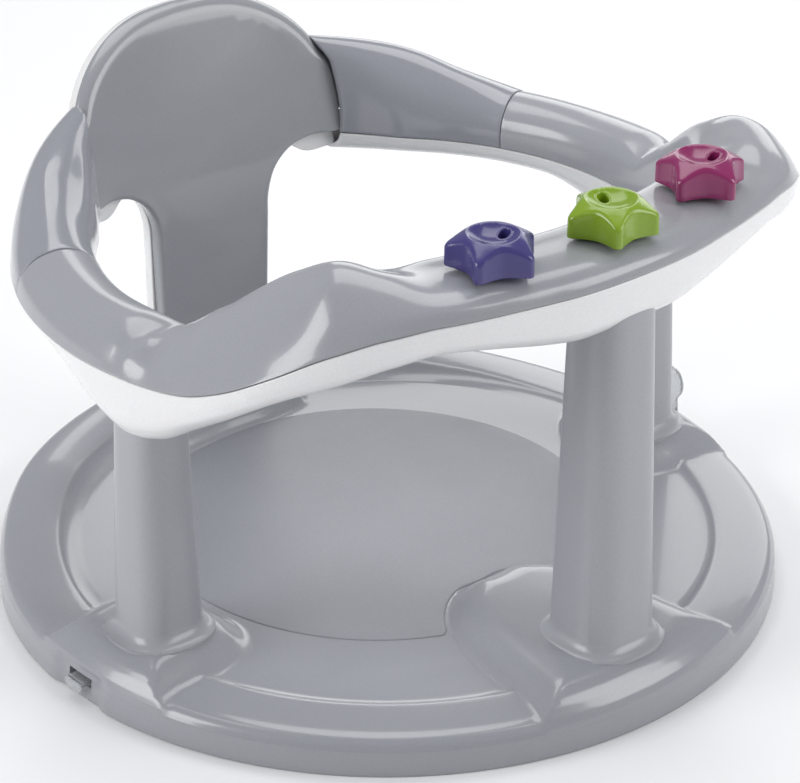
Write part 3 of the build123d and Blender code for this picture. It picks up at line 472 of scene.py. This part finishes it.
def build_base():
    thetas = list(np.arange(-180.0, 180.0, 0.9))
    slot_half = math.degrees(math.asin(SLOT_W / 2 / 184.4))
    slot_mid = 90.0 - math.degrees(math.asin(-TAB_Y / 184.4))
    for sgn in (-1, 1):
        for e in (slot_mid - slot_half, slot_mid + slot_half):
            for d in (-0.16, -0.05, 0.05, 0.16):
                thetas.append(sgn * (e + d))
    thetas = sorted(thetas)
    keep = [thetas[0]]
    for t in thetas[1:]:
        if t - keep[-1] > 0.035:
            keep.append(t)
    thetas = keep
    radii = np.concatenate([np.linspace(2.0, 90.0, 24, endpoint=False), np.linspace(90.0, 146.0, 36, endpoint=False)])
    rows = []
    for t in thetas:
        prof = catmull(rim_profile(t), 6)[::-1]       # floor side to bottom edge
        top = [(r, FLOOR_Z) for r in radii] + [tuple(q) for q in prof]
        # finer rows down the outer wall
        wall_z = [12.3, 12.1, 11.95, 11.0, 9.5, 8.2, 7.65, 7.5, 7.3, 5.0, 3.0, 1.6, 0.9, 0.4, 0.1, 0.0]
        outer = catmull(rim_profile(t), 10)
        zs, rs = outer[:, 1], outer[:, 0]
        order = np.argsort(zs[:22])
        head = [q for q in top if not (q[0] > 181.5 and q[1] < 12.6)]
        tail = []
        for wz in wall_z:
            wr = float(np.interp(wz, zs[:22][order], rs[:22][order]))
            if wz < 0.9:
                wr -= 0.9 - math.sqrt(max(0.0, 0.81 - (0.9 - wz) ** 2))
            tail.append((wr, wz))
        rows.append(head + tail)
    m = min(len(r) for r in rows)
    rows = [r[len(r) - m:] if len(r) > m else r for r in rows]
    R = np.array([[q[0] for q in r] for r in rows])
    Z = np.array([[q[1] for q in r] for r in rows])
    TH = np.radians(np.array(thetas))[:, None] * np.ones_like(R)
    X, Y = R * np.sin(TH), -R * np.cos(TH)
    isl = island(X, Y)
    # islands rise out of the floor and run out into the rim
    cap = np.interp(R, [150, 164, 169, 173, 176.5, 179.5, 182, 183.6, 184.6], [29.0, 29.0, 28.5, 27.0, 24.6, 21.6, 18.0, 14.5, 10.0])
    fade = (isl > 0.01) * 1.0
    target = np.minimum(FLOOR_Z + isl, cap)
    k = 1.2
    on_top = Z >= 9.0
    blend = 0.5 * (Z + target + np.sqrt((Z - target) ** 2 + k * k)) - k / 2 * np.exp(-np.abs(Z - target) / k)
    Z = np.where(on_top & (isl * fade > 0.01), np.maximum(Z, blend), Z)
    # scooped finger recess and slot at each side
    for sgn in (-1, 1):
        near = (np.sign(X) == sgn) & (R > 178)
        side = np.abs(Y - TAB_Y)
        scoop = smoothstep(19.0, 12.0, side) * smoothstep(17.5, 13.5, Z)
        R = np.where(near, R - 2.0 * scoop, R)
        hole = (side < SLOT_W / 2 - 0.0) & (Z < SLOT_Z1 + 0.001) & (Z > SLOT_Z0 - 0.001)
        R = np.where(near & hole, R - 3.2, R)
    X, Y = R * np.sin(TH), -R * np.cos(TH)
    nt_, nr = X.shape
    verts = [tuple(v) for v in np.stack([X, Y, Z], -1).reshape(-1, 3)]
    faces = grid_faces(nt_, nr, wrap_rows=True)
    # underside
    under = [(182.0, 0.0), (181.6, 0.3), (181.2, 5.0), (179.5, 11.0), (175.8, 16.0), (172.5, 17.6), (166.0, 17.4), (157.0, 15.2), (146.0, 14.5), (100.0, 14.5), (50.0, 14.5), (2.0, 14.5)]
    base_index = len(verts)
    for t in thetas:
        rise = smooth_table([0, 105, 128, 146, 180], [0, 0, 0.45 * RIM_RISE, RIM_RISE, RIM_RISE], abs(t))
        a = math.radians(t)
        for r, z in under:
            w = smooth_table([0, 5, 11, 16, 17.5], [0, 0.2, 0.7, 1, 1], z) if r > 160 else (0.3 if r > 150 else 0.0)
            dr = 0.0
            side = abs(-r * math.cos(a) - TAB_Y)
            if r > 178 and side < 21:
                dr = 2.0 * float(smoothstep(19.0, 12.0, side)) + (1.6 if side < SLOT_W / 2 + 2 and 0.5 < z < 15 else 0.0)
            verts.append(((r - dr) * math.sin(a), -(r - dr) * math.cos(a), z + w * rise))
    nu = len(under)
    faces += grid_faces(nt_, nu, base=base_index, wrap_rows=True)
    for i in range(nt_):
        j = (i + 1) % nt_
        faces.append((i * nr + nr - 1, j * nr + nr - 1, base_index + j * nu, base_index + i * nu))
    top_c = len(verts)
    verts.append((0, 0, FLOOR_Z))
    verts.append((0, 0, 14.5))
    for i in range(nt_):
        j = (i + 1) % nt_
        faces.append((top_c, i * nr, j * nr))
        faces.append((top_c + 1, base_index + j * nu + nu - 1, base_index + i * nu + nu - 1))
    return build("base_moulding", verts, faces, M_BASE, replaces=("base",), angle=50)


build_base()


# ---------------------------------------------------------------------------
# flat-ish plates: an outline in a plane, filled with even triangles
# ---------------------------------------------------------------------------
def offset_outline(poly, d):
    """Closed outline moved inwards by d (poly counter-clockwise)."""
    return poly + normals_2d(poly, -1, closed=True) * d


def resample_closed(points, step):
    p = np.vstack([points, points[:1]])
    seg = np.linalg.norm(np.diff(p, axis=0), axis=1)
    s = np.concatenate([[0], np.cumsum(seg)])
    n = max(8, int(round(s[-1] / step)))
    t = np.linspace(0, s[-1], n, endpoint=False)
    return np.stack([np.interp(t, s, p[:, 0]), np.interp(t, s, p[:, 1])], 1)


def ccw(points):
    x, y = points[:, 0], points[:, 1]
    area = 0.5 * np.sum(x * np.roll(y, -1) - y * np.roll(x, -1))
    return points if area > 0 else points[::-1]


def fill(outline, holes, step):
    """Triangles inside an outline with holes; returns points and faces, boundary points first."""
    pts = [tuple(p) for p in outline]
    loops = [list(range(len(pts)))]
    for h in holes:
        start = len(pts)
        pts += [tuple(p) for p in h]
        loops.append(list(range(start, len(pts))))
    x0, y0 = outline.min(0)
    x1, y1 = outline.max(0)
    gx, gy = [], []
    row, y = 0, y0
    while y < y1:
        xs = np.arange(x0 + (step / 2 if row % 2 else 0.0), x1, step)
        gx += list(xs)
        gy += [y] * len(xs)
        y += step * 0.866
        row += 1
    gx, gy = np.array(gx), np.array(gy)
    ok = polygon_distance([tuple(p) for p in outline], gx, gy) > step * 0.55
    for h in holes:
        ok &= polygon_distance([tuple(p) for p in h], gx, gy) < -step * 0.55
    inner = list(zip(gx[ok], gy[ok]))
    edges = []
    for loop in loops:
        edges += [(loop[i], loop[(i + 1) % len(loop)]) for i in range(len(loop))]
    allpts = [Vector((float(a), float(b))) for a, b in pts + inner]
    v, e, f, ov, oe, of_ = delaunay_2d_cdt(allpts, edges, [], 1, 1e-6)
    v = np.array([(p.x, p.y) for p in v])
    cx = np.array([v[list(t)].mean(0) for t in f])
    ok = polygon_distance([tuple(p) for p in outline], cx[:, 0], cx[:, 1]) > 0
    for h in holes:
        ok &= polygon_distance([tuple(p) for p in h], cx[:, 0], cx[:, 1]) < 0
    faces = [tuple(t) for t, k in zip(f, ok) if k]
    return v, faces


def back_front_y(x, z):
    z = np.asarray(z, float)
    lean = np.where(z >= 158, BACK_LEAN * (z - 146), BACK_LEAN * np.maximum(0.0, z - 134) ** 2 / 48.0)
    return BACK_FRONT_Y + lean - BACK_CURVE * np.asarray(x, float) ** 2


def plate(name, outline, y_front, y_back, r_front, r_back, material, replaces, holes=(), step=4.0, edge_step=2.2):
    """A curved slab in the XZ plane with rounded front and back edges.
    y_front and y_back give the two faces at a point of the outline plane."""
    line = resample_closed(ccw(np.array(outline, float)), edge_step)
    verts, faces = [], []
    n = len(line)
    rings = []
    kf, kb = 7, 4
    rf = np.array([r_front(x, z) if callable(r_front) else r_front for x, z in line])
    for k in range(kf + 1):                  # from the flat of the front to the side
        f = math.pi / 2 * k / kf
        rings.append((offset_outline(line, rf[:, None] * (1 - math.sin(f))), "f", rf * (1 - math.cos(f))))
    for k in range(kb + 1):
        f = math.pi / 2 * k / kb
        rings.append((offset_outline(line, r_back * (1 - math.cos(f))), "b", np.full(n, r_back * (1 - math.sin(f)))))
    for pts, which, depths in rings:
        for (x, z), depth in zip(pts, depths):
            y = y_front(x, z) + depth if which == "f" else y_back(x, z) - depth
            verts.append((x, float(y), z))
    faces += grid_faces(len(rings), n, wrap_cols=True)
    for ring_index, fy in ((0, y_front), (len(rings) - 1, y_back)):
        pts = rings[ring_index][0]
        v, f = fill(pts, [], step)
        base = len(verts)
        verts += [(x, float(fy(x, z)), z) for x, z in v]
        faces += [tuple(base + i for i in t) for t in f]
    return build(name, verts, faces, material, replaces=replaces, weld=2e-5)


def backrest_outline(scale, drop, column_top, column_foot, wing):
    half = list(catmull([(x * scale, z - drop) for x, z in ARCH], 8))
    half += list(catmull([half[-1], (75.0 * scale, 186), (75.5 * scale, 174), (wing[0] + 0.6, wing[1] + 1.2)], 6))[1:]
    half += list(catmull([(wing[0] - 0.6, wing[1]), (60, wing[1] - 1.0), (48, 156.0), (38.5, 147.5), (column_top + 0.6, 136.5), (column_top, 124)], 6))
    half += [(column_top + (column_foot - column_top) * t, 124 + (34 - 124) * t) for t in np.linspace(0.05, 1, 20)]
    half += [(column_foot + 1.5, 29), (column_foot + 5.0, 25.4), (column_foot + 6.5, BACK_PAD_Z)]
    half = [(float(a), float(b)) for a, b in half]
    left = [(-a, b) for a, b in half[::-1] if a > 1e-6]
    return half + left


def front_round(x, z):
    """Rounding of the front edge: soft over the top, tight where the arms join."""
    r = 3.0 + 3.8 * float(smoothstep(178.0, 206.0, z))
    s = float(smoothstep(62.0, 71.0, abs(x)) * smoothstep(203.0, 187.0, z))
    return r * (1 - s) + 0.5 * s


plate("backrest_front_skin", backrest_outline(1.0, 0.0, 33.8, 31.0, (74.5, 160.5)),
      lambda x, z: back_front_y(x, z), lambda x, z: back_front_y(x, z) + 7.0, front_round, 0.2, M_BACK, ("backrest_front",))
plate("backrest_rear_shell", backrest_outline(0.992, 2.0, 34.6, 33.6, (74.4, 151.0)),
      lambda x, z: back_front_y(x, z) + 7.3, lambda x, z: back_front_y(x, z) + 16.0, 0.8, 5.0, M_WHITE, ("backrest_rear",))


# ---------------------------------------------------------------------------
# posts
# ---------------------------------------------------------------------------
def rounded_loop(cx, cy, w, d, n=72, power=3.2):
    out = []
    for k in range(n):
        a = 2 * math.pi * k / n
        c, s = math.cos(a), math.sin(a)
        out.append((cx + w / 2 * math.copysign(abs(c) ** (2 / power), c), cy + d / 2 * math.copysign(abs(s) ** (2 / power), s)))
    return out


def post(name, cx, cy, z0, z1, w0, d0, w1, d1, node):
    verts = []
    levels = []
    flare = 6.5
    levels.append((z0 - 1.8, flare))
    for k in range(13):
        f = math.pi / 2 * k / 12
        levels.append((z0 + flare * (1 - math.cos(f)), flare * (1 - math.sin(f))))
    for t in np.linspace(0.04, 1.0, 26):
        z = z0 + flare + (z1 - 1.5 - z0 - flare) * t
        levels.append((z, 0.0))
    for k in range(1, 5):
        f = math.pi / 2 * k / 4
        levels.append((z1 - 1.5 + 1.5 * math.sin(f), -1.5 * (1 - math.cos(f))))
    for z, grow in levels:
        f = min(1.0, max(0.0, (z - z0) / (z1 - z0)))
        for x, y in rounded_loop(cx, cy, w0 + (w1 - w0) * f + 2 * grow, d0 + (d1 - d0) * f + 2 * grow, power=3.2 if grow <= 0 else 3.2 - 0.7 * min(1, grow / 6.5)):
            verts.append((x, y, z))
    n = 72
    faces = grid_faces(len(levels), n, wrap_cols=True)
    faces.append(tuple(range(n)))
    faces.append(tuple((len(levels) - 1) * n + k for k in range(n)))
    return build(name, verts, faces, M_POST, replaces=(node,), angle=60)


post("left_post_skin", -SIDE_POST[0], SIDE_POST[1], POD_Z - 0.2, 147.0, 34.3, 34.3, 27.3, 27.3, "left_post")
post("right_post_skin", SIDE_POST[0], SIDE_POST[1], POD_Z - 0.2, 147.0, 34.3, 34.3, 27.3, 27.3, "right_post")
post("front_post_skin", 0.0, FRONT_POST_Y, POD_Z - 0.2, 198.0, 40, 40, 31.7, 31.7, "front_post")


# ---------------------------------------------------------------------------
# mat on the floor
# ---------------------------------------------------------------------------
def build_mat():
    a = np.radians(np.arange(0, 360, 2.0))
    ell = np.stack([108 * np.cos(a), 9 + 110 * np.sin(a)], 1)
    pod = [(x * 1.06, -147 + (y + 147) * 1.03) for x, y in front_outline]
    d = polygon_distance(pod, ell[:, 0], ell[:, 1])
    keep = ell[d < -0.5]
    start = int(np.argmax(np.linalg.norm(np.roll(keep, -1, 0) - keep, axis=1))) + 1
    keep = np.roll(keep, -start, 0)
    p = np.array(pod)
    inside = ((p[:, 0] / 108) ** 2 + ((p[:, 1] - 9) / 110) ** 2) < 0.985
    idx = np.where(inside)[0]
    run = p[idx]
    run = run[np.argsort(np.arctan2(run[:, 0], -(run[:, 1] + 147) * -1.0))]
    if np.linalg.norm(run[0] - keep[-1]) > np.linalg.norm(run[-1] - keep[-1]):
        run = run[::-1]
    outline = ccw(resample_closed(np.vstack([keep, run]), 2.2))
    verts, faces = [], []
    rings = [(0.0, 0.0), (0.0, 0.1), (0.3, 0.38), (1.0, 0.5)]
    n = len(outline)
    for inset, z in rings:
        for x, y in offset_outline(outline, inset):
            verts.append((x, y, FLOOR_Z + 0.05 + z))
    faces += grid_faces(len(rings), n, wrap_cols=True)
    v, f = fill(offset_outline(outline, 1.0), [], 6.0)
    base = len(verts)
    verts += [(x, y, FLOOR_Z + 0.55) for x, y in v]
    faces += [tuple(base + i for i in t) for t in f]
    v, f = fill(outline, [], 9.0)
    base = len(verts)
    verts += [(x, y, FLOOR_Z + 0.05) for x, y in v]
    faces += [tuple(base + i for i in t) for t in f]
    return build("seat_mat_sheet", verts, faces, M_MAT, replaces=("seat_mat",), weld=2e-5)


build_mat()


# ---------------------------------------------------------------------------
# stars
# ---------------------------------------------------------------------------
DOME = ([0.0, 10.4, 11.0, 11.5, 12.2, 14.0, 17.0, 21.0], [14.1, 14.1, 14.4, 14.32, 13.95, 12.9, 11.0, 8.6])
deep_xy = np.array((math.sin(math.radians(-40.5)), -math.cos(math.radians(-40.5))))
right_xy = np.array((math.cos(math.radians(-40.5)), math.sin(math.radians(-40.5))))
SMILE = {"left": (2.3, 7.2), "centre": (-2.2, 5.6), "right": (1.7, 6.4)}


def star_loop(turn):
    """Five narrow rounded arms with hollow sides, counter-clockwise, around the origin."""
    pts = []
    for k in range(5):
        a = turn + 72 * k
        for da, r in ((-36, 13.9), (-28, 14.25), (-21.3, 15.05), (-14.7, 16.25), (-9.0, 17.9), (-6.0, 19.15), (-3.2, 19.95), (0, 20.2), (3.2, 19.95), (6.0, 19.15), (9.0, 17.9), (14.7, 16.25), (21.3, 15.05), (28, 14.25)):
            b = math.radians(a + da)
            pts.append((r * math.cos(b), r * math.sin(b)))
    return resample_closed(catmull(pts, 6, closed=True), 0.6)


def build_star(side, material):
    cx, cy, turn, hole_turn = STARS[side]
    z0 = STAR_SEAT_Z + STAR_GAP
    loop = star_loop(turn)
    n = len(loop)
    rad = np.linalg.norm(loop, axis=1)
    unit = loop / rad[:, None]

    def dome(r):
        return np.array([smooth_table(DOME[0], DOME[1], float(q)) for q in r])

    height = dome(rad)
    rows = [(rad - 0.5, np.zeros(n)), (rad - 0.12, np.full(n, 0.12)), (rad, np.full(n, 0.5))]
    for f in (0.3, 0.6, 0.85):
        rows.append((rad - 0.15 * f, (height - 1.7) * f))
    for back, drop in ((0.15, 1.7), (0.2, 1.2), (0.38, 0.72), (0.7, 0.34), (1.15, 0.1), (1.6, 0.0)):
        r = np.maximum(rad - back, 12.25)
        rows.append((r, dome(r) - drop))
    for f in (0.3, 0.6, 0.85, 1.0):
        r = np.maximum(rad - 1.6, 12.25) * (1 - f) + 12.1 * f
        rows.append((r, dome(r)))
    for q in (11.8, 11.5, 11.2, 10.9):
        rows.append((np.full(n, q), dome(np.full(n, q))))
    verts = []
    for r, z in rows:
        verts += [(cx + u[0] * a, cy + u[1] * a, z0 + b) for u, a, b in zip(unit, r, z)]
    faces = grid_faces(len(rows), n, wrap_cols=True)
    # dished top with two holes, each with a raised lip, and a small smile
    ha = math.radians(hole_turn)
    hx = [(q * 6.3 * math.cos(ha), q * 6.3 * math.sin(ha)) for q in (-1, 1)]
    hole_r, lip_w = 2.5, 0.9
    k = 32
    circle = np.array([(math.cos(2 * math.pi * i / k), math.sin(2 * math.pi * i / k)) for i in range(k)])
    holes = [np.array(h) + circle * (hole_r + lip_w) for h in hx]
    rim = unit * rows[-1][0][:, None]
    edge_z = float(rows[-1][1][0])
    sm = SMILE[side]
    centre = right_xy * sm[0] + deep_xy * sm[1]
    reach = float(np.linalg.norm(centre))
    facing = centre / reach

    def dish(x, y):
        t = min(1.0, math.hypot(x, y) / 10.9)
        z = 10.4 + (edge_z - 10.4) * t ** 2.3
        p = np.array((x, y)) - facing * (reach - 4.0)
        q = math.hypot(*p)
        if q > 1e-6:
            turned = math.degrees(math.acos(max(-1.0, min(1.0, float(p @ facing) / q))))
            z -= 0.5 * math.exp(-((q - 4.0) / 0.42) ** 2) * float(smoothstep(48.0, 22.0, turned))
        return z
    v, f = fill(rim, holes, 0.7)
    base = len(verts)
    verts += [(cx + x, cy + y, z0 + dish(x, y)) for x, y in v]
    faces += [tuple(base + i for i in t) for t in f]
    for h in hx:
        outer = np.array(h) + circle * (hole_r + lip_w)
        ring_rows = []
        for rr, dz in ((hole_r + lip_w, 0.0), (hole_r + lip_w * 0.75, 0.14), (hole_r + lip_w * 0.45, 0.22), (hole_r + 0.18, 0.15), (hole_r, -0.08), (hole_r - 0.1, -0.6), (hole_r - 0.12, -7.0)):
            pts = np.array(h) + circle * rr
            ring_rows.append([(cx + x, cy + y, z0 + (dish(*outer[i]) + dz if dz > -5 else 4.6)) for i, (x, y) in enumerate(pts)])
        base = len(verts)
        for row in ring_rows:
            verts += row
        faces += grid_faces(len(ring_rows), k, base=base, wrap_cols=True)
        faces.append(tuple(base + (len(ring_rows) - 1) * k + i for i in range(k)))
    faces.append(tuple(range(n)))
    return build("star_" + side + "_body", verts, faces, material, body="spinner_" + side, replaces=("star_" + side,), weld=2e-5, angle=60)


build_star("left", M_PURPLE)
build_star("centre", M_GREEN)
build_star("right", M_MAGENTA)


# ---------------------------------------------------------------------------
# suction cups and release tabs
# ---------------------------------------------------------------------------
def build_cup(name, cx, cy, strap, node):
    prof = catmull(CUP[:9], 5)
    prof2 = catmull(CUP[9:], 5)
    line = list(prof) + list(prof2)
    n = 56
    verts, faces = [], []
    for r, z in line:
        for k in range(n):
            a = 2 * math.pi * k / n
            verts.append((cx + max(r, 0.0) * math.cos(a), cy + max(r, 0.0) * math.sin(a), z))
    faces += grid_faces(len(line), n, wrap_cols=True)
    ob = build(name, verts, faces, M_CLEAR, replaces=(node,), angle=40, weld=1e-5)
    if strap:
        pts = catmull([(157.5, 3.4), (163, 4.4), (169.5, 8.2), (176, 9.0), (185.1, 9.0)], 8)
        nrm = normals_2d(pts, 1)
        verts, faces = [], []
        loop = [(-6.0, -0.35), (-5.6, -0.8), (5.6, -0.8), (6.0, -0.35), (6.0, 0.35), (5.6, 0.8), (-5.6, 0.8), (-6.0, 0.35)]
        for p, q in zip(pts, nrm):
            for dy, dn in loop:
                r, z = p + q * dn
                verts.append((strap * r, TAB_Y + dy, z))
        faces += grid_faces(len(pts), 8, wrap_cols=True)
        faces += [tuple(range(8)), tuple((len(pts) - 1) * 8 + k for k in range(8))]
        strap_ob = build(name + "_strap", verts, faces, M_CLEAR)
    return ob


build_cup("suction_cup_front_body", 0, -106, 0, "suction_cup_front")
build_cup("suction_cup_rear_body", 0, 106, 0, "suction_cup_rear")
build_cup("suction_cup_left_body", -140, TAB_Y, -1, "suction_cup_left")
build_cup("suction_cup_right_body", 140, TAB_Y, 1, "suction_cup_right")


def rounded_plate(name, outline, x_mid, t, material, body, node):
    """A thin upright plate in the YZ plane with rounded edges."""
    line = resample_closed(ccw(catmull(outline, 6, closed=True)), 0.6)
    verts, faces = [], []
    rings = []
    for k in range(5):
        f = math.pi * k / 4 - math.pi / 2
        rings.append((t / 2 * (1 - math.cos(f)), t / 2 * math.sin(f)))
    n = len(line)
    for inset, dx in rings:
        for y, z in offset_outline(line, inset):
            verts.append((x_mid + dx, y, z))
    faces += grid_faces(len(rings), n, wrap_cols=True)
    for ring in (0, len(rings) - 1):
        v, f = fill(offset_outline(line, rings[ring][0]), [], 1.6)
        base = len(verts)
        verts += [(x_mid + rings[ring][1], y, z) for y, z in v]
        faces += [tuple(base + i for i in q) for q in f]
    return build(name, verts, faces, material, body=body, replaces=(node,), weld=2e-5)


rounded_plate("release_tab_right_body", [(TAB_Y + a, b) for a, b in [(-4.5, 8.0), (0, 7.6), (4.5, 8.0), (4.5, 18), (4.4, 23), (7.4, 28), (7.4, 34), (4.4, 38.5), (0, 39.9), (-4.4, 38.5), (-7.4, 34), (-7.4, 28), (-4.4, 23), (-4.5, 18)]],
              187.0, 1.8, M_CLEAR, "tab_right", "release_tab_right")
rounded_plate("release_tab_left_body", [(TAB_Y + a, b) for a, b in [(-6.0, 9.6), (0, 9.8), (6.0, 9.6), (6.4, 7.4), (5.0, 5.2), (0, 4.6), (-5.0, 5.2), (-6.4, 7.4)]],
              -186.2, 1.1, M_CLEAR, "tab_left", "release_tab_left")

# small CAD parts stay, with their own finishes
for node, material, slot in (("base_screws", M_STEEL, "screw_steel"), ("backrest_screws", M_STEEL, "screw_steel"),
                             ("star_spindle_left", M_SPINDLE, "spindle_plastic"), ("star_spindle_centre", M_SPINDLE, "spindle_plastic"), ("star_spindle_right", M_SPINDLE, "spindle_plastic"),
                             ("star_clip_left", M_STEEL, "screw_steel"), ("star_clip_centre", M_STEEL, "screw_steel"), ("star_clip_right", M_STEEL, "screw_steel")):
    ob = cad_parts[node]
    ob.data.materials.clear()
    ob.data.materials.append(material)

# ---------------------------------------------------------------------------
# floor, light and camera
# ---------------------------------------------------------------------------
floor_mesh = bpy.data.meshes.new("floor")
floor_mesh.from_pydata([(-9, -9, 0), (9, -9, 0), (9, 9, 0), (-9, 9, 0)], [], [(0, 1, 2, 3)])
floor = bpy.data.objects.new("floor", floor_mesh)
bpy.context.scene.collection.objects.link(floor)
floor_mat = bpy.data.materials.new("floor_pale")
floor_mat.use_nodes = True
fb = floor_mat.node_tree.nodes["Principled BSDF"]
fb.inputs["Base Color"].default_value = (0.86, 0.86, 0.865, 1)
fb.inputs["Roughness"].default_value = 0.9
floor_mesh.materials.append(floor_mat)

world = bpy.data.worlds.new("studio")
world.use_nodes = True
bpy.context.scene.world = world
bg = world.node_tree.nodes["Background"]
bg.inputs["Color"].default_value = (0.93, 0.95, 1.0, 1)
bg.inputs["Strength"].default_value = 0.34


def area(name, at, look, size, power, colour=(1, 1, 1)):
    data = bpy.data.lights.new(name, "AREA")
    data.shape = "RECTANGLE"
    data.size, data.size_y = size
    data.energy = power
    data.color = colour
    ob = bpy.data.objects.new(name, data)
    bpy.context.scene.collection.objects.link(ob)
    ob.location = at
    ob.rotation_euler = (Vector(look) - Vector(at)).to_track_quat("-Z", "Y").to_euler()
    return ob


A, E, D = math.radians(-40.537), math.radians(28.203), 1.5495
right = Vector((math.cos(A), math.sin(A), 0))
back = Vector((math.sin(A) * math.cos(E), -math.cos(A) * math.cos(E), math.sin(E)))
up = Vector((-math.sin(E) * math.sin(A), math.sin(E) * math.cos(A), math.cos(E)))
deep = Vector((math.sin(A), -math.cos(A), 0))      # level direction towards the camera
target = right * 0.006096 + up * 0.078686
camera_data = bpy.data.cameras.new("camera")
camera_data.sensor_width = 36.0
camera_data.sensor_fit = "HORIZONTAL"
camera_data.lens = 145.16
camera = bpy.data.objects.new("camera", camera_data)
bpy.context.scene.collection.objects.link(camera)
camera.matrix_world = Matrix.Translation(target + back * D) @ Matrix((right, up, back)).transposed().to_4x4()
bpy.context.scene.camera = camera
camera_data.clip_end = 50

area("key_top", -deep * 0.5 + Vector((0, 0, 1.7)), (0, 0, 0.1), (1.5, 1.1), 15)
area("right_soft", right * 1.5 + deep * 0.5 + Vector((0, 0, 0.9)), (0, 0, 0.12), (0.9, 1.2), 14)
area("left_soft", -right * 1.5 + deep * 0.7 + Vector((0, 0, 0.75)), (0, 0, 0.12), (0.9, 1.1), 17)
area("back_soft", -deep * 1.6 + right * 0.4 + Vector((0, 0, 0.7)), (0, 0, 0.12), (1.6, 0.8), 8)

bpy.context.scene.view_settings.view_transform = "Standard"
